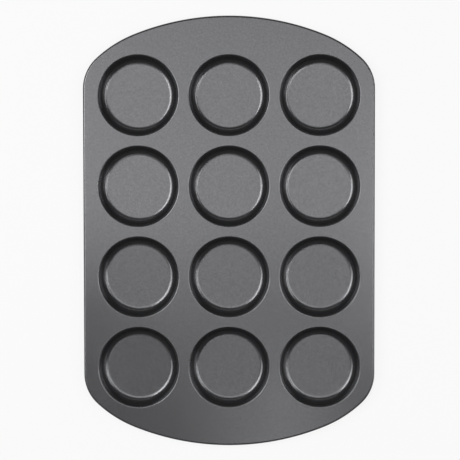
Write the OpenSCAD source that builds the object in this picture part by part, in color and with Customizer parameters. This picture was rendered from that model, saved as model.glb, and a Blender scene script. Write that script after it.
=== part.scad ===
// Twelve-cup baking pan: one pressed steel sheet with shallow round cups, bowed ends and a rolled rim.
// Millimetres, +Z up. The origin is the middle of the plane that the cup floors stand on.
// X runs across the pan, and Y runs along it, from one bowed end to the other.

/* [Sheet] */
// Thickness of the steel sheet
sheet_t = 0.6; // [0.4:0.05:1]
// Flat land from the mouth of an outer cup to the straight side of the pan
side_land = 14.7; // [12:0.1:30]
// Flat land from the mouth of a middle cup to the peak of a bowed end
end_land = 38.1; // [30:0.1:60]

/* [Cups] */
// Cups across the pan
cup_cols = 3; // [2:1:5]
// Cups along the pan
cup_rows = 4; // [2:1:6]
// Width of a cup's mouth, where the line of its wall would meet the top of the sheet
mouth_d = 77.2; // [60:0.1:100]
// Flat land between the mouths of neighbouring cups
cup_gap = 10.8; // [8:0.1:30]
// Depth of a cup, from the top of the sheet down to its floor
cup_depth = 12.7; // [9:0.1:20]
// Slope of a cup's wall, measured from level
wall_a = 72; // [50:1:80]
// Radius of a cup's lip, on the food side
lip_r = 1.8; // [1.2:0.1:3.2]
// Radius between a cup's wall and its floor, on the food side
foot_r = 6.5; // [3:0.1:8]

/* [Outline] */
// Radius of the corners, at the ends of the straight sides
corner_r = 40; // [30:1:50]
// Radius of the shoulders, between a corner and a bowed end
shoulder_r = 118; // [90:1:140]
// Angle from the peak of a bowed end to where a shoulder starts
shoulder_a = 22; // [16:1:28]
// Angle from the peak of a bowed end to where a corner starts
corner_a = 43; // [34:1:54]

/* [Rim] */
// Outer diameter of the rolled rim
rim_d = 2.4; // [2:0.1:5]
// How far round the edge of the sheet is rolled under
rim_roll = 270; // [200:5:280]

/* [Hidden] */

// How far a cup's flange and the rim's flange run out over the flat web before they end in it
cup_flange = 1.5;
rim_flange = 5;
// A round is cut this much oversize, so that it crosses the straight lines that it joins
bite = 0.0005;
// Number of straight steps along each arc of the web's hidden edge
arc_steps = 8;

function to_micron(v) = round(v * 1000) / 1000;
function dir(a) = [cos(a), sin(a)];

// Heights and pitch
top_z = sheet_t + cup_depth;
cup_pitch = mouth_d + cup_gap;
rim_r = rim_d / 2;
pan_w = (cup_cols - 1) * cup_pitch + mouth_d + 2 * side_land;
pan_l = (cup_rows - 1) * cup_pitch + mouth_d + 2 * end_land;

// Section of a cup on the food side: where the lines of web, wall and floor meet, and the centres of the rounds
mouth_x = mouth_d / 2;
floor_x = mouth_x - cup_depth / tan(wall_a);
lip_c = [mouth_x + lip_r * tan(wall_a / 2), top_z - lip_r];
foot_c = [floor_x - foot_r * tan(wall_a / 2), sheet_t + foot_r];

// Each quarter of the outline is a chain of tangent arcs: half a bow, a shoulder and a corner.
// The radius of the bow is the one that makes the chain reach the straight side.
corner_reach = (shoulder_r - corner_r) * sin(corner_a);
bow_r = to_micron(shoulder_r + (pan_w / 2 - corner_r - corner_reach) / sin(shoulder_a));
bow_to_shoulder = (bow_r - shoulder_r) * cos(shoulder_a);
bow_to_corner = bow_to_shoulder + (shoulder_r - corner_r) * cos(corner_a);
side_y = to_micron(pan_l / 2 - bow_r + bow_to_corner);
bow_c = [0, side_y - bow_to_corner];
shoulder_c = [(bow_r - shoulder_r) * sin(shoulder_a), bow_c.y + bow_to_shoulder];
corner_c = [shoulder_c.x + corner_reach, side_y];

// The arcs of one quarter: centre, radius, first angle and sweep
corner_arc = [corner_c, corner_r, 0, 90 - corner_a];
shoulder_arc = [shoulder_c, shoulder_r, 90 - corner_a, corner_a - shoulder_a];
bow_arc = [bow_c, bow_r, 90 - shoulder_a, 2 * shoulder_a];

// Moves in a coarse and a fine step, so that neighbouring lengths of the rim meet face to face
module shift_to(v) {
  coarse = [to_micron(v.x), to_micron(v.y)];
  translate(coarse) translate(v - coarse) children();
}

// The sliver between an arc about the origin and the corner of the lines tangent to its ends
module cove(r, first, sweep, lap) {
  half = sweep / 2;
  difference() {
    polygon([
      [0, 0],
      (r + lap) * dir(first),
      (r / cos(half) + lap) * dir(first + half),
      (r + lap) * dir(first + sweep)
    ]);
    circle(r + bite);
  }
}

// All that lies below a face of the sheet at a cup: the food side, or one that is sunk into the sheet
module below_face(sunk) {
  corner_shift = sunk * tan(wall_a / 2);
  floor_z = sheet_t - sunk;
  web_z = top_z - sunk;
  inner_x = -1 - sunk;
  outer_x = lip_c.x + cup_flange + 1 + sunk;
  base_z = -2 - sunk;
  lap = sheet_t / 2;
  difference() {
    union() {
      polygon([
        [inner_x, base_z],
        [outer_x, base_z],
        [outer_x, web_z],
        [mouth_x + corner_shift, web_z],
        [floor_x + corner_shift, floor_z],
        [inner_x, floor_z]
      ]);
      translate(foot_c) cove(foot_r + sunk, -90, wall_a, lap);
    }
    translate(lip_c) cove(lip_r - sunk, 90, wall_a, lap);
  }
}

// Section of one cup, from its axis to the edge of its flange
module cup_profile() {
  intersection() {
    translate([0, -1]) square([lip_c.x + cup_flange, top_z + 2]);
    difference() {
      below_face(0);
      below_face(sheet_t);
    }
  }
}

module at_each_cup() {
  for (i = [0 : cup_cols - 1], j = [0 : cup_rows - 1])
    translate([(i - (cup_cols - 1) / 2) * cup_pitch, (j - (cup_rows - 1) / 2) * cup_pitch])
      children();
}

module cups() {
  at_each_cup() rotate_extrude($fn = 96) cup_profile();
}

// Section of the rim: a flange that is level with the web, and the edge rolled under it.
// Its origin is on the outermost line of the pan, at the top of the sheet.
module rim_profile() {
  open_a = 360 - rim_roll;
  translate([-rim_r, -rim_r]) {
    translate([-rim_flange, rim_r - sheet_t]) square([rim_flange, sheet_t]);
    difference() {
      circle(rim_r, $fn = 48);
      circle(rim_r - sheet_t, $fn = 48);
      polygon([[0, 0], 2 * rim_d * dir(90), 2 * rim_d * dir(90 + open_a / 2), 2 * rim_d * dir(90 + open_a)]);
    }
  }
}

// A length of the rim along one arc of the outline
module rim_arc(arc) {
  shift_to(arc[0])
    rotate_extrude(start = arc[2], angle = arc[3], $fn = 360)
      translate([arc[1], top_z]) rim_profile();
}

// A length of the rim along a straight side
module rim_side() {
  shift_to([corner_c.x + corner_r, 0])
    rotate([90, 0, 0])
      linear_extrude(height = 2 * side_y, center = true)
        translate([0, top_z]) rim_profile();
}

module rim() {
  for (flip_y = [0, 1]) mirror([0, flip_y, 0]) {
    rim_arc(bow_arc);
    for (flip_x = [0, 1]) mirror([flip_x, 0, 0]) {
      rim_arc(shoulder_arc);
      rim_arc(corner_arc);
    }
  }
  for (flip_x = [0, 1]) mirror([flip_x, 0, 0]) rim_side();
}

// Points along an arc whose radius is cut short by inset
function inset_arc(arc, sweep, inset) = [
  for (k = [0 : arc_steps]) arc[0] + (arc[1] - inset) * dir(arc[2] + sweep * k / arc_steps)
];

// The flat web between the cups, which ends inside the rim's flange
module web() {
  quarter = concat(
    inset_arc(corner_arc, corner_arc[3], rim_r + rim_flange / 2),
    inset_arc(shoulder_arc, shoulder_arc[3], rim_r + rim_flange / 2),
    inset_arc(bow_arc, shoulder_a, rim_r + rim_flange / 2)
  );
  half = concat(quarter, [for (k = [len(quarter) - 1 : -1 : 0]) [-quarter[k].x, quarter[k].y]]);
  translate([0, 0, top_z - sheet_t])
    linear_extrude(height = sheet_t)
      difference() {
        polygon(concat(half, [for (p = half) -p]));
        at_each_cup() circle(lip_c.x + cup_flange / 2, $fn = 96);
      }
}

module pan() {
  color([0.27, 0.27, 0.28]) {
    web();
    rim();
    cups();
  }
}

pan();
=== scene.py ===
# %% [markdown]
# # A nonstick baking pan with twelve shallow cups
# The real pan is one sheet of carbon steel. A press draws the cups, a die trims the outline, and the cut
# edge is rolled under into a small tube that stiffens the pan and leaves nothing sharp to hold.
# A dark grey nonstick coating is then sprayed on and baked.
#
# The engineering model of the pan is loaded first and stays fixed: it says where everything is.
# This script adds what an engineering model lacks, a finely drawn surface with true smooth normals, the
# slight unevenness of pressed sheet and the look of the coating, and it sets the pan under studio lamps.

import math

import bpy
import numpy as np
from mathutils import Matrix, Vector


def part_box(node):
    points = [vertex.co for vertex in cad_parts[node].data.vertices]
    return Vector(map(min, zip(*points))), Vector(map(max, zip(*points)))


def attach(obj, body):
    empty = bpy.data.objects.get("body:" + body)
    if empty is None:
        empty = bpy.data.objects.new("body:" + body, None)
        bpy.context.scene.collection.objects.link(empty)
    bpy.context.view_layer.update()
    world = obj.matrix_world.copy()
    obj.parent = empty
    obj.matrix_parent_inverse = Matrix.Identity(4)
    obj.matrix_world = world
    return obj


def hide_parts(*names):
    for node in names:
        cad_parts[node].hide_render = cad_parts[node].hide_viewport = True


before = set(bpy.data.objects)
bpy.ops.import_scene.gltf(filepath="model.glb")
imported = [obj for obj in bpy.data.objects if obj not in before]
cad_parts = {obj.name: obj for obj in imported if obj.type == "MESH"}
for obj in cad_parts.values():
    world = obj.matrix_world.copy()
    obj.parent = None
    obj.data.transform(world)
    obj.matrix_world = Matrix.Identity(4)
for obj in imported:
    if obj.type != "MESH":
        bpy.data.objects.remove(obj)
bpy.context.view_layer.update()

# %% [markdown]
# ## The sizes that drive the shape
# Everything below follows from a dozen sizes in millimetres. Three of them are read from the engineering
# model itself, so the drawn surface always fills the same box. The rest are what a toolmaker would
# measure on the pan: pitch and mouth of the cups, the slope of their walls, the radii of the press tool.
#
# One size is not the engineering model's. The edge is rolled into a tube 4 mm across here, which is how wide
# its dark line looks on the real pan. The engineering model keeps a slimmer roll of 2.4 mm. Both reach
# exactly as far out and as high, so the pan's size is the same.

# %% Driving sizes
MM = 0.001

low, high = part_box("pan")
pan_w, pan_l, top_z = (high - low) / MM

sheet_t = 0.6
rim_d = 4.0
rim_r = rim_d / 2
rim_roll = math.radians(270)

cup_cols, cup_rows = 3, 4
cup_pitch = 88.0
mouth_d = 77.2
cup_depth = top_z - sheet_t
wall_a = math.radians(72)
lip_r = 1.8
foot_r = 6.5

corner_r, shoulder_r = 40.0, 118.0
corner_a, shoulder_a = math.radians(43), math.radians(22)

print(f"pan {pan_w:.1f} x {pan_l:.1f} x {top_z:.1f} mm, cups {cup_depth:.1f} mm deep")

# %% [markdown]
# ## The outline
# Seen from above, each quarter of the pan is a straight side and three arcs, each tangent to the next: a
# tight corner, a wide shoulder and half of a long bow. Such a chain can be drawn point by point, but here
# it is written as a distance: how far is any point from the outline, and which way is out? One formula
# then serves to find where a line meets the edge and to carry the rolled rim square to it.

# %% Arcs of the outline
reach = (shoulder_r - corner_r) * math.sin(corner_a)
bow_r = shoulder_r + (pan_w / 2 - corner_r - reach) / math.sin(shoulder_a)
bow_c = np.array([0.0, pan_l / 2 - bow_r])
shoulder_c = bow_c + (bow_r - shoulder_r) * np.array([math.sin(shoulder_a), math.cos(shoulder_a)])
corner_c = shoulder_c + (shoulder_r - corner_r) * np.array([math.sin(corner_a), math.cos(corner_a)])
print(f"bow radius {bow_r:.1f} mm, straight sides end at y = {corner_c[1]:.1f} mm")


def outline(points):
    """Signed distance of points from the pan's outline (negative inside), and the way out from each.

    A point is folded into the quarter where x and y are positive. The angle at which the centre of an arc
    sees it, from the pan's long axis, says which arc it faces. Its distance is then its distance from that
    centre less the radius, and beside the straight side it is x less half the width.
    """
    folded = np.abs(points)
    centres = np.stack([corner_c, shoulder_c, bow_c])
    radii = np.array([corner_r, shoulder_r, bow_r])
    spokes = folded[..., None, :] - centres
    lengths = np.linalg.norm(spokes, axis=-1)
    angles = np.arctan2(spokes[..., 0], spokes[..., 1])
    beside = folded[..., 1] < corner_c[1]
    arc = np.where(angles[..., 0] > corner_a, 0, np.where(angles[..., 1] > shoulder_a, 1, 2))
    pick = arc[..., None]
    length = np.take_along_axis(lengths, pick, -1)[..., 0]
    distance = np.where(beside, folded[..., 0] - pan_w / 2, length - radii[arc])
    spoke = np.take_along_axis(spokes, pick[..., None], -2)[..., 0, :] / length[..., None]
    way_out = np.where(beside[..., None], [1.0, 0.0], spoke)
    return distance, way_out * np.where(points < 0, -1.0, 1.0)


# %% Where a line meets the rim
HALVINGS = 50


def cast_to_rim(start, way, inset):
    """Distance from start along way to the line that lies inset within the outline.

    The distance to that line grows steadily along any ray that starts inside it, so the crossing is found
    by halving an interval that holds it.
    """
    near = np.zeros(way.shape[:-1])
    far = np.full(way.shape[:-1], pan_l)
    for _ in range(HALVINGS):
        middle = (near + far) / 2
        inside = outline(start + middle[..., None] * way)[0] < -inset
        near = np.where(inside, middle, near)
        far = np.where(inside, far, middle)
    return (near + far) / 2


# %% [markdown]
# ## The section of a cup
# A press forms a cup over tools with rounded edges, so its section is a flat floor, a wide arc, a straight
# steep wall and a small arc that turns out into the flat web. A lathe tool or a spun curve would give the
# same shape. Here the section is a list of points, each with the direction that its surface faces. Keeping
# the directions as well makes the shading exact: a smooth normal taken from neighbouring faces would smear
# the arcs into the flats beside them.

# %% Section of a cup, as radius and height with normals
FLOOR_RINGS = 8
FOOT_STEPS = 14
LIP_STEPS = 10


def arc_points(centre, radius, first, last, steps):
    """Points on an arc and the unit spokes to them: centre + radius * (cos a, sin a) for even steps of a."""
    angle = np.linspace(first, last, steps + 1)
    spokes = np.stack([np.cos(angle), np.sin(angle)], -1)
    return np.array(centre) + radius * spokes, spokes


def cup_section():
    """The food side of a cup from its axis to where its lip is level, the way that each point faces, and its
    bend.

    The floor faces up. The foot is an arc about a centre above the sheet, so it faces that centre. The lip
    is an arc about a centre inside the bend, so it faces away from it. The bend is the lip's radius over
    the arc's, as the lip is the tightest arc.
    """
    tangent = math.tan(wall_a / 2)
    floor_x = mouth_d / 2 - cup_depth / math.tan(wall_a)
    foot_c = [floor_x - foot_r * tangent, sheet_t + foot_r]
    lip_c = [mouth_d / 2 + lip_r * tangent, top_z - lip_r]
    floor = np.stack([np.linspace(0, foot_c[0], FLOOR_RINGS, endpoint=False), np.full(FLOOR_RINGS, sheet_t)], -1)
    foot, foot_spokes = arc_points(foot_c, foot_r, -math.pi / 2, wall_a - math.pi / 2, FOOT_STEPS)
    lip, lip_spokes = arc_points(lip_c, lip_r, math.pi / 2 + wall_a, math.pi / 2, LIP_STEPS)
    points = np.concatenate([floor, foot, lip])
    faces = np.concatenate([np.tile([0.0, 1.0], (FLOOR_RINGS, 1)), -foot_spokes, lip_spokes])
    bends = np.repeat([0.0, lip_r / foot_r, 1.0], [FLOOR_RINGS, FOOT_STEPS + 1, LIP_STEPS + 1])
    return points, faces, bends


section, section_faces, section_bends = cup_section()
floor_r = section[FLOOR_RINGS, 0]
lip_end = section[-1, 0]
print(f"the floor is flat out to {floor_r:.2f} mm from the cup's axis, and the lip is level at {lip_end:.2f} mm")

# %% [markdown]
# ## Dividing the web among the cups
# The flat web has twelve holes and a curved edge, which is awkward to cover with a tidy grid. The way out
# is to give each cup its own patch. Rays run from the cup's axis out to the lines half way to its
# neighbours, or to the rim where it has no neighbour. Rays and rings then make a clean grid that starts at
# the cup's floor and ends at the patch's border, and neighbouring patches meet point for point.

# %% Rays of a cup's patch
RAY_STEP = math.radians(4)
WEB_RINGS = 6
RING_CROWDING = 1.5
LEAST_COSINE = 1e-6
SIDES = np.array([[1.0, 0.0], [0.0, 1.0], [-1.0, 0.0], [0.0, -1.0]])


def patch_rays(centre, shared):
    """Directions of a patch's rays in order, the border's distance along each, and the stretches on the rim.

    centre is the cup's axis, and shared says for the right, top, left and bottom side whether a neighbour
    lies there. A stop is set wherever the border turns or reaches the rim. Between two stops the rays are
    spread evenly, so that the neighbour across a shared side gets the same points by symmetry. A shared
    side is half a pitch away, so its distance along a ray is that length over the cosine between them. The
    cosine is kept above zero, so that a ray along the side, or away from it, never meets it.
    """
    stops = []
    for k in range(4):
        ahead = (k + 1) % 4
        here, there = centre + SIDES[k] * cup_pitch / 2, centre + SIDES[ahead] * cup_pitch / 2
        if shared[k] and shared[ahead]:
            stops.append((here + there - centre, shared[ahead]))
        elif shared[k]:
            stops.append((here + SIDES[ahead] * cast_to_rim(here, SIDES[ahead], rim_r), shared[ahead]))
        elif shared[ahead]:
            stops.append((there + SIDES[k] * cast_to_rim(there, SIDES[k], rim_r), shared[ahead]))
    offsets = np.array([corner for corner, _ in stops]) - centre
    turns = np.unwrap(np.arctan2(offsets[:, 1], offsets[:, 0]))
    turns = np.append(turns, turns[0] + 2 * math.pi)
    angles, on_rim = [], []
    for first, last, (_, is_shared) in zip(turns[:-1], turns[1:], stops):
        count = round((last - first) / RAY_STEP)
        if not is_shared:
            on_rim.append((len(angles), count))
        angles.extend(np.linspace(first, last, count, endpoint=False))
    angles = np.array(angles)
    ways = np.stack([np.cos(angles), np.sin(angles)], -1)
    border = cast_to_rim(centre, ways, rim_r)
    for side in SIDES[shared]:
        facing = ways @ side
        side_distance = cup_pitch / 2 / np.maximum(facing, LEAST_COSINE)
        border = np.minimum(border, side_distance)
    return ways, border, on_rim


# %% [markdown]
# ## Grids of points
# A grid of points becomes a surface when each point is joined to the next in its row and its column.
# Every point carries five numbers and not three. Besides its place it keeps its lift, which is 0 on a
# cup's floor and 1 on the web, and its bend, which is 0 where the sheet is flat and 1 where it is bent
# tightest. The lift is used when the sheet is made slightly uneven, and the bend by the coating.

# %% Grid of one cup's patch
def grid_faces(rows, cols, wrap):
    """Quads of a grid of rows by cols points: each joins a point to the next in its row and column."""
    r, c = np.meshgrid(np.arange(rows - 1), np.arange(cols if wrap else cols - 1), indexing="ij")
    ahead = (c + 1) % cols
    quads = np.stack([r * cols + c, (r + 1) * cols + c, (r + 1) * cols + ahead, r * cols + ahead], -1)
    return quads.reshape(-1, 4)


def stack_grid(flat, height, lift, bend, facing_flat, facing_up):
    """Joins parts of a grid of points to rows of x, y, z, lift and bend, and to rows of the facing."""
    height, lift, bend, facing_up = [np.broadcast_to(part, flat.shape[:2])[..., None]
                                     for part in (height, lift, bend, facing_up)]
    points = np.concatenate([flat, height, lift, bend], -1)
    facings = np.concatenate([facing_flat, facing_up], -1)
    return points.reshape(-1, 5), facings.reshape(-1, 3)


def cup_patch(centre, shared):
    """Points, facings and quads of the food side of one patch, and the border points that lie on the rim.

    Inside the lip a point is the section's radius along a ray, at the section's height. Outside it lies on
    the straight line from the lip to the border, at the height of the web. The share of that line grows as
    a power of the ring's number, which crowds the rings towards the lip.
    """
    ways, border, on_rim = patch_rays(centre, shared)
    share = (np.arange(1, WEB_RINGS + 1) / WEB_RINGS) ** RING_CROWDING
    inner = section[:, 0][:, None, None] * ways
    outer = (lip_end + share[:, None] * (border - lip_end))[..., None] * ways
    flat = centre + np.concatenate([inner, outer])
    height = np.append(section[:, 1], np.full(WEB_RINGS, top_z))[:, None]
    facing_in = np.append(section_faces[:, 0], np.zeros(WEB_RINGS))
    facing_up = np.append(section_faces[:, 1], np.ones(WEB_RINGS))[:, None]
    bend = np.append(section_bends, np.zeros(WEB_RINGS))[:, None]
    points, facings = stack_grid(flat, height, (height - sheet_t) / cup_depth, bend,
                                 facing_in[:, None, None] * ways, facing_up)
    edges = [flat[-1][np.arange(start, start + count + 1) % len(ways)] for start, count in on_rim]
    return points, facings, grid_faces(*flat.shape[:2], wrap=True), edges


# %% [markdown]
# ## The rolled edge
# The trimmed edge of the sheet is rolled under through three quarters of a turn. In section that is an arc
# for the outside, the cut edge, and a smaller arc for the inside. The cut edge is drawn as a half circle,
# because spray coating builds up there and rounds it. The section is then carried along the outline, square
# to it at every point, which is where the way out from the distance formula comes in.

# %% Rolled rim
ROLL_STEPS = 26
EDGE_STEPS = 4


def roll_section():
    """The rolled edge as offsets (outward, up) from its start on the web, and the way that each faces.

    The food side runs round an arc of the rim's radius, turns back on a half circle at the cut edge, and
    returns round an arc that is smaller by the sheet's thickness.
    """
    start, end = math.pi / 2, math.pi / 2 - rim_roll
    outer, outer_spokes = arc_points([0, -rim_r], rim_r, start, end, ROLL_STEPS)
    inner, inner_spokes = arc_points([0, -rim_r], rim_r - sheet_t, end, start, ROLL_STEPS)
    middle_r = rim_r - sheet_t / 2
    edge_c = [middle_r * math.cos(end), middle_r * math.sin(end) - rim_r]
    edge, edge_spokes = arc_points(edge_c, sheet_t / 2, end, end - math.pi, EDGE_STEPS)
    points = np.concatenate([outer, edge[1:-1], inner])
    facings = np.concatenate([outer_spokes, edge_spokes[1:-1], -inner_spokes])
    return points, facings


def rim_strip(edge):
    """The roll carried along a stretch of the web's edge: each offset is laid off square to the outline.

    Its bend is the lip's radius over the roll's. The rows run along the edge and the columns round the
    roll, so the corners of each quad are taken in the other order to make it face outward.
    """
    way_out = outline(edge)[1]
    offsets, turned = roll_section()
    flat = edge[:, None, :] + offsets[None, :, :1] * way_out[:, None, :]
    facing_flat = turned[None, :, :1] * way_out[:, None, :]
    points, facings = stack_grid(flat, top_z + offsets[:, 1], 1.0, lip_r / rim_r, facing_flat, turned[:, 1])
    return points, facings, grid_faces(*flat.shape[:2], wrap=False)[:, ::-1]


# %% [markdown]
# ## One closed sheet
# Each patch gives two skins: the food side, and the underside one sheet thickness behind it. Both come from
# the same points, because each point knows which way it faces, and the underside is the food side moved
# back along that direction. A Solidify modifier would do nearly that, but it can't follow the roll at the
# edge. All pieces are then welded: points that share a place become one, so the sheet has no seams.

# %% Gather and weld the sheet
WELD_DIGITS = 4


def gather_sheet():
    """All patches and rim strips as one set of points, facings and quads, in millimetres."""
    parts = []
    for col in range(cup_cols):
        for row in range(cup_rows):
            centre = np.array([col - (cup_cols - 1) / 2, row - (cup_rows - 1) / 2]) * cup_pitch
            shared = np.array([col < cup_cols - 1, row < cup_rows - 1, col > 0, row > 0])
            points, facings, quads, edges = cup_patch(centre, shared)
            behind = points.copy()
            behind[:, :3] -= sheet_t * facings
            parts.append((points, facings, quads))
            parts.append((behind, -facings, quads[:, ::-1]))
            parts.extend(rim_strip(edge) for edge in edges)
    starts = np.cumsum([0] + [len(points) for points, _, _ in parts])
    points = np.concatenate([p for p, _, _ in parts])
    facings = np.concatenate([f for _, f, _ in parts])
    quads = np.concatenate([q + start for (_, _, q), start in zip(parts, starts)])
    return points, facings, quads


def weld(points, facings, quads):
    """Merges points that share a place, to a tenth of a micron. Where a pole folds a quad onto itself, the
    quad keeps its three different corners."""
    _, keep, same = np.unique(np.round(points[:, :3], WELD_DIGITS), axis=0, return_index=True,
                              return_inverse=True)
    quads = same.reshape(-1)[quads]
    folded = (quads == np.roll(quads, -1, axis=1)).any(axis=1)
    corners = [list(dict.fromkeys(quad)) for quad in quads[folded].tolist()]
    return points[keep], facings[keep], quads[~folded].tolist() + [c for c in corners if len(c) == 3]


points, facings, quads = gather_sheet()
points, facings, faces = weld(points, facings, quads)
print(f"sheet: {len(points)} points, {len(faces)} faces")

# %% [markdown]
# ## Pressed sheet is never quite flat
# Drawing twelve cups pulls the steel about, so the web is left with long shallow waves, and each floor is
# dished by a few tenths of a millimetre and tilted a little. Nobody sees that as shape, but a satin
# surface under a softbox shows it at once: a slope of half a degree moves the reflection by a degree, and
# the web clouds over. So the unevenness is real geometry here and not paint.
#
# The waves are a sum of sines with random directions. They only lower the web and only raise the floors,
# so that the pan stays inside the engineering model's box.

# %% Waves in the web, dish and tilt of the floors
WAVE_HEIGHT = 0.12
WAVE_LENGTHS = np.array([330.0, 250.0, 180.0, 140.0, 110.0, 90.0])
FLOOR_DISH = 0.25
FLOOR_TILT = 0.0015
random = np.random.default_rng(12)


def web_waves(x, y):
    """Drop of the web and its slopes along x and y: a sum of sines, each of a size in step with its length."""
    turn = random.uniform(0, 2 * math.pi, len(WAVE_LENGTHS))
    phase = random.uniform(0, 2 * math.pi, len(WAVE_LENGTHS))
    size = WAVE_HEIGHT / 2 * WAVE_LENGTHS / WAVE_LENGTHS.sum()
    wave_x, wave_y = 2 * math.pi / WAVE_LENGTHS * np.stack([np.cos(turn), np.sin(turn)])
    angle = x[:, None] * wave_x + y[:, None] * wave_y + phase
    drop = (np.sin(angle) - 1) @ size
    return drop, np.cos(angle) @ (size * wave_x), np.cos(angle) @ (size * wave_y)


def floor_dish(x, y):
    """Rise of a cup's floor and its slopes: the square of the distance from the cup's axis, and a tilt.

    The axis is that of the nearest cup. The tilted plane is lifted until its lowest point is level with
    the flat floor.
    """
    col = np.clip(np.round(x / cup_pitch + (cup_cols - 1) / 2), 0, cup_cols - 1)
    row = np.clip(np.round(y / cup_pitch + (cup_rows - 1) / 2), 0, cup_rows - 1)
    across = x - (col - (cup_cols - 1) / 2) * cup_pitch
    along = y - (row - (cup_rows - 1) / 2) * cup_pitch
    cup = (col * cup_rows + row).astype(int)
    tilt = random.normal(0, FLOOR_TILT, (cup_cols * cup_rows, 2))[cup]
    curve = FLOOR_DISH / floor_r ** 2
    rise = curve * (across ** 2 + along ** 2) + (tilt[:, 0] * across + tilt[:, 1] * along
                                                 + np.linalg.norm(tilt, axis=1) * floor_r)
    return rise, 2 * curve * across + tilt[:, 0], 2 * curve * along + tilt[:, 1]


def settle(points, facings):
    """Points moved up or down by the waves and the dishes, shared out by lift, and their facings turned.

    A surface whose height gains a slope has its facing leant back by that slope times its upward part.
    """
    x, y, _, lift, _ = points.T
    web, floor = web_waves(x, y), floor_dish(x, y)
    rise, slope_x, slope_y = [lift * w + (1 - lift) * f for w, f in zip(web, floor)]
    moved = points[:, :3].copy()
    moved[:, 2] += rise
    leant = facings.copy()
    leant[:, 0] -= slope_x * facings[:, 2]
    leant[:, 1] -= slope_y * facings[:, 2]
    return moved, leant / np.linalg.norm(leant, axis=1, keepdims=True)


bends = points[:, 4]
points, facings = settle(points, facings)
print(f"the sheet now lies between {points[:, 2].min():.3f} and {points[:, 2].max():.3f} mm")

# %% [markdown]
# ## From arrays to a mesh
# from_pydata takes the points and faces as they are. The facings go in as custom normals, which tell the
# renderer how the true curved surface faces at each point. The piece then rides on the engineering
# model's body and stands for its node, which is hidden.
#
# Two checks are printed. In a closed surface each edge lies between two faces. And the corners of a face
# must run anticlockwise as seen from outside: one that runs the other way turns its back to its facings
# and renders black, which is easily missed on something as thin as a rolled edge.

# %% Make the mesh
def mesh_object(name, points, facings, faces):
    """A mesh object whose points are given in millimetres, shaded by the given facings."""
    mesh = bpy.data.meshes.new(name)
    mesh.from_pydata((points * MM).tolist(), [], faces)
    mesh.polygons.foreach_set("use_smooth", np.ones(len(faces), bool))
    mesh.update()
    mesh.normals_split_custom_set_from_vertices(facings.tolist())
    piece = bpy.data.objects.new(name, mesh)
    bpy.context.scene.collection.objects.link(piece)
    return piece


pressed_sheet = mesh_object("pressed_sheet", points, facings, faces)
pressed_sheet.data.attributes.new("bend", "FLOAT", "POINT").data.foreach_set("value", bends)
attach(pressed_sheet, "root")
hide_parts("pan")
edge_of = np.empty(len(pressed_sheet.data.loops), int)
pressed_sheet.data.loops.foreach_get("edge_index", edge_of)
print("closed, with every edge between two faces:", bool((np.bincount(edge_of) == 2).all()))
first_three = np.array([face[:3] for face in faces])
first, second, third = points[first_three].transpose(1, 0, 2)
across_faces = np.cross(second - first, third - second)
turned_away = (across_faces * facings[first_three].sum(axis=1)).sum(axis=1) <= 0
print("faces that point the wrong way:", int(turned_away.sum()))

# %% [markdown]
# ## The baked coating
# The finish is a nonstick coating on steel: a PTFE resin with mica and aluminium flakes, sprayed on a
# grit-blasted sheet and baked at about 400 degrees. The flakes lie flat in it, so it shines like dull metal
# and not like plastic, and its highlights are wide and soft. Spray droplets leave a fine grain and a
# slight orange peel. A metal shader with a dark colour gives that flake sheen, and a small share of
# plain dark resin under it keeps the shadows from going glassy.
#
# Each pattern is a noise on Object coordinates, which are metres here. A noise of scale 1 has features
# about one metre wide, so the scale for a feature of so many millimetres is 1000 divided by it.

# %% Helpers for materials
def linear(hex_colour):
    """An sRGB hex colour as linear red, green, blue and an alpha of 1."""
    parts = [int(hex_colour[k:k + 2], 16) / 255 for k in (1, 3, 5)]
    return [p / 12.92 if p <= 0.04045 else ((p + 0.055) / 1.055) ** 2.4 for p in parts] + [1.0]


def add_node(tree, kind, settings=None, links=None):
    """Adds a node, sets its properties or input sockets from settings, and joins its inputs as links say."""
    node = tree.nodes.new(kind)
    for key, value in (settings or {}).items():
        if isinstance(key, str) and hasattr(node, key):
            setattr(node, key, value)
        else:
            node.inputs[key].default_value = value
    for key, source in (links or {}).items():
        tree.links.new(source, node.inputs[key])
    return node


def new_material(name):
    """An empty node material and its tree."""
    material = bpy.data.materials.new(name)
    material.use_nodes = True
    material.node_tree.nodes.clear()
    return material, material.node_tree


# %% Nonstick coating
GRAIN_MM = 1.7
PEEL_MM = 3.0
CLOUD_MM = 45.0
DARK_FLAKES, PALE_FLAKES = "#59595b", "#636365"
FLAKE_RANGE = 0.25, 0.75
METAL_SHARE = 0.85
CLOUD_RANGE = 0.3, 0.7
SMOOTHEST, ROUGHEST = 0.225, 0.255
BEND_MATT = 0.04
PEEL_STRENGTH = 0.22
PEEL_HEIGHT = 0.02 * MM


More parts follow.
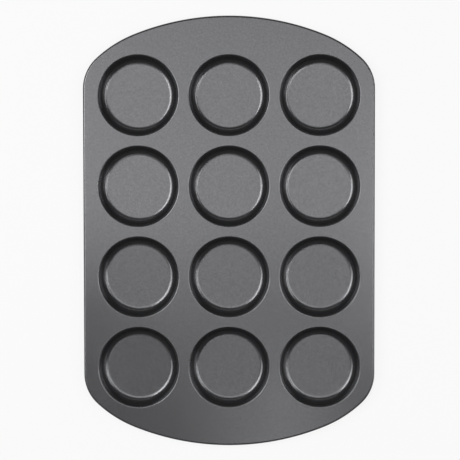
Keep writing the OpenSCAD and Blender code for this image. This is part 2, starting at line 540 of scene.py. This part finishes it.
def nonstick_coating():
    """Flake-filled PTFE, sprayed and baked: dull metal sheen, fine spray grain, slight orange peel.

    The real grain is a few tenths of a millimetre wide. It is drawn at 1.7 mm, because a finer one would
    not show at this distance. The two ranges are the parts of the grain and cloud noises that are spread
    over the colours and the roughnesses. A bend is a little rougher than flat sheet, where the coating is
    stretched.
    """
    material, tree = new_material("baked_ptfe_nonstick_coating")
    place = add_node(tree, "ShaderNodeTexCoord").outputs["Object"]
    grain = add_node(tree, "ShaderNodeTexNoise", {"Scale": 1000 / GRAIN_MM, "Detail": 1.0, "Roughness": 0.5},
                     {"Vector": place})
    cloud = add_node(tree, "ShaderNodeTexNoise", {"Scale": 1000 / CLOUD_MM, "Detail": 2.0, "Roughness": 0.5},
                     {"Vector": place})
    peel = add_node(tree, "ShaderNodeTexNoise", {"Scale": 1000 / PEEL_MM, "Detail": 2.0, "Roughness": 0.6},
                    {"Vector": place})
    flakes = add_node(tree, "ShaderNodeMapRange", {"From Min": FLAKE_RANGE[0], "From Max": FLAKE_RANGE[1]}, {
        "Value": grain.outputs["Fac"]})
    colour = add_node(tree, "ShaderNodeMix", {
        "data_type": "RGBA", 6: linear(DARK_FLAKES), 7: linear(PALE_FLAKES)}, {"Factor": flakes.outputs["Result"]})
    gloss = add_node(tree, "ShaderNodeMapRange", {
        "From Min": CLOUD_RANGE[0], "From Max": CLOUD_RANGE[1], "To Min": SMOOTHEST, "To Max": ROUGHEST}, {
        "Value": cloud.outputs["Fac"]})
    bend = add_node(tree, "ShaderNodeAttribute", {"attribute_name": "bend"}).outputs["Fac"]
    matt = add_node(tree, "ShaderNodeMath", {"operation": "MULTIPLY_ADD", 1: BEND_MATT}, {
        0: bend, 2: gloss.outputs["Result"]})
    relief = add_node(tree, "ShaderNodeBump", {"Strength": PEEL_STRENGTH, "Distance": PEEL_HEIGHT}, {
        "Height": peel.outputs["Fac"]})
    shader = add_node(tree, "ShaderNodeBsdfPrincipled", {"Metallic": METAL_SHARE}, {
        "Base Color": colour.outputs[2], "Roughness": matt.outputs["Value"], "Normal": relief.outputs["Normal"]})
    add_node(tree, "ShaderNodeOutputMaterial", links={"Surface": shader.outputs["BSDF"]})
    return material


pressed_sheet.data.materials.append(nonstick_coating())
print("coating:", len(pressed_sheet.data.materials[0].node_tree.nodes), "nodes")

# %% [markdown]
# ## The floor
# A product picture of this kind is taken on a white board that is lit on its own until it turns almost
# white. More light on the board would also fall on the pan, so the board's paleness comes from its
# material: the camera, and reflections, mostly see an even glow of a given colour, and the rest is painted
# board. The painted share is what still shows the pan's soft shadow.

# %% Floor
FLOOR_PAINT, GLOW_COLOUR = "#f4f4f4", "#fbfbfb"
PAINT_ROUGHNESS = 0.9
FLOOR_GLOW = 0.9
FLOOR_HALF = 3.0


def pale_floor():
    """Painted board whose colour to the camera and in reflections is mostly a flat, even white."""
    material, tree = new_material("pale_floor_paint")
    paint = add_node(tree, "ShaderNodeBsdfPrincipled", {
        "Base Color": linear(FLOOR_PAINT), "Roughness": PAINT_ROUGHNESS})
    glow = add_node(tree, "ShaderNodeEmission", {"Color": linear(GLOW_COLOUR), "Strength": 1.0})
    path = add_node(tree, "ShaderNodeLightPath")
    seen = add_node(tree, "ShaderNodeMath", {"operation": "MAXIMUM"}, {
        0: path.outputs["Is Camera Ray"], 1: path.outputs["Is Glossy Ray"]})
    seen = add_node(tree, "ShaderNodeMath", {"operation": "MAXIMUM"}, {
        0: seen.outputs["Value"], 1: path.outputs["Is Transmission Ray"]})
    share = add_node(tree, "ShaderNodeMath", {"operation": "MULTIPLY", 1: FLOOR_GLOW}, {0: seen.outputs["Value"]})
    mix = add_node(tree, "ShaderNodeMixShader", links={
        "Fac": share.outputs["Value"], 1: paint.outputs["BSDF"], 2: glow.outputs["Emission"]})
    add_node(tree, "ShaderNodeOutputMaterial", links={"Surface": mix.outputs["Shader"]})
    return material


def make_floor():
    """A flat square board under the pan, level with the plane that the cups stand on."""
    corners = FLOOR_HALF * np.array([[-1, -1, 0], [1, -1, 0], [1, 1, 0], [-1, 1, 0]])
    mesh = bpy.data.meshes.new("floor")
    mesh.from_pydata(corners.tolist(), [], [(0, 1, 2, 3)])
    floor = bpy.data.objects.new("floor", mesh)
    bpy.context.scene.collection.objects.link(floor)
    mesh.materials.append(pale_floor())


make_floor()
print(f"floor: {2 * FLOOR_HALF:.0f} m square")

# %% [markdown]
# ## The camera
# The pan is seen from right above, from not very far: the walls of the cups show wider at the pan's ends
# than in its middle, and that gives the height. The camera hangs a little towards the far end and leans
# back by two degrees. It turns about the pan's own axes, first about x, then y, then z.

# %% Camera
CAMERA_HEIGHT = 1.35
CAMERA_PLACE = Vector((0.0054, 0.0524, CAMERA_HEIGHT + top_z * MM))
CAMERA_TILT = [math.radians(-2.154), math.radians(0.189), math.radians(-0.069)]
SENSOR_MM = 36.0
LENS_MM = 109.1


def make_camera():
    """A camera that looks straight down before it is turned, with a sensor 36 mm wide."""
    data = bpy.data.cameras.new("camera")
    data.sensor_width = SENSOR_MM
    data.lens = LENS_MM
    camera = bpy.data.objects.new("camera", data)
    bpy.context.scene.collection.objects.link(camera)
    about_x, about_y, about_z = [Matrix.Rotation(turn, 4, axis) for turn, axis in zip(CAMERA_TILT, "XYZ")]
    camera.matrix_world = Matrix.Translation(CAMERA_PLACE) @ about_z @ about_y @ about_x
    bpy.context.scene.camera = camera
    return camera


camera = make_camera()
print(f"camera {CAMERA_HEIGHT:.2f} m above the web, lens {camera.data.lens:.1f} mm")

# %% [markdown]
# ## The lamps
# A flat satin surface shows a blurred picture of whatever hangs above it, so the lamps are laid out like a
# ceiling. A wide softbox right overhead lights the web and the floors, with two smaller ones beside it,
# and the ceiling grows dim towards the near end, as the pan does. The banks at the left and the right lie
# beyond the mirror angle of the flat parts and show only in the curved ones: they draw the bright arcs in
# each foot, the thin line on each lip and the light line along the rolled edge. Two faint lamps low on the
# walls lift the steep sides of the cups.
#
# A lamp is given by the brightness of its face, where 1 is the white of a sheet of paper in plain light.
# The power that an area lamp needs for that is brightness times pi times its area. Together the lamps light
# a white sheet on the floor to about its own white, so colours render about as they are written.
#
# The overhead lamps overlap, and a ray that meets two lamps at one distance counts only one of them. So
# each hangs a few millimetres lower than the one before.

# %% Lamps
CEILING = 1.31
HANGING_STEP = 0.004
OVERHEAD = [  # name, left, right, near and far edge in metres, brightness
    ("wide_softbox", -0.6, 0.6, -0.1, 0.5, 1.83),
    ("near_softbox", -0.2, 0.6, -0.3, -0.1, 0.78),
    ("right_softbox", 0.4, 0.8, -0.3, 0.1, 4.96),
    ("front_softbox", 0.0, 0.2, -0.7, -0.3, 2.08),
    ("front_fill", -0.8, 0.0, -0.9, 0.1, 0.34),
    ("left_strip", -0.8, -0.6, -0.1, 0.7, 12.53),
    ("left_bank", -1.6, -0.8, -0.5, 0.7, 3.40),
    ("right_bank", 1.1, 1.6, -0.5, 0.7, 5.18),
]
ON_THE_WALLS = [  # name, middle, way it shines, width and height in metres, brightness
    ("right_wall", (1.5, -0.4, 0.32), (-1, 0, 0), (1.2, 0.6), 1.05),
    ("back_wall", (0, 1.5, 0.77), (0, -1, 0), (2.0, 0.3), 0.68),
]


def softbox(name, place, way, size, brightness):
    """A rectangular lamp at place that shines along way, with power = brightness * pi * width * height."""
    data = bpy.data.lights.new(name, "AREA")
    data.shape = "RECTANGLE"
    data.size, data.size_y = size
    data.energy = brightness * math.pi * size[0] * size[1]
    lamp = bpy.data.objects.new(name, data)
    bpy.context.scene.collection.objects.link(lamp)
    lamp.matrix_world = Matrix.Translation(place) @ Vector(way).to_track_quat("-Z", "Y").to_matrix().to_4x4()
    print(f"{name}: {data.energy:.2f} W")


for step, (name, left, right, near, far, brightness) in enumerate(OVERHEAD):
    middle = ((left + right) / 2, (near + far) / 2, CEILING - step * HANGING_STEP)
    softbox(name, middle, (0, 0, -1), (right - left, far - near), brightness)
for lamp in ON_THE_WALLS:
    softbox(*lamp)

# %% [markdown]
# ## The air and the view
# In a studio some light comes back from walls and ceiling and reaches the pan from everywhere. A faint even
# world stands for it, and keeps the steep walls of the cups from going black. The Standard view shows
# colours as they are written, with no film look laid over them.

# %% World and view
AIR_STRENGTH = 0.053

world = bpy.data.worlds.new("studio_air")
world.use_nodes = True
air = world.node_tree.nodes["Background"]
air.inputs["Color"].default_value = linear("#ffffff")
air.inputs["Strength"].default_value = AIR_STRENGTH
bpy.context.scene.world = world
bpy.context.scene.view_settings.view_transform = "Standard"
print("world strength", round(air.inputs["Strength"].default_value, 3))
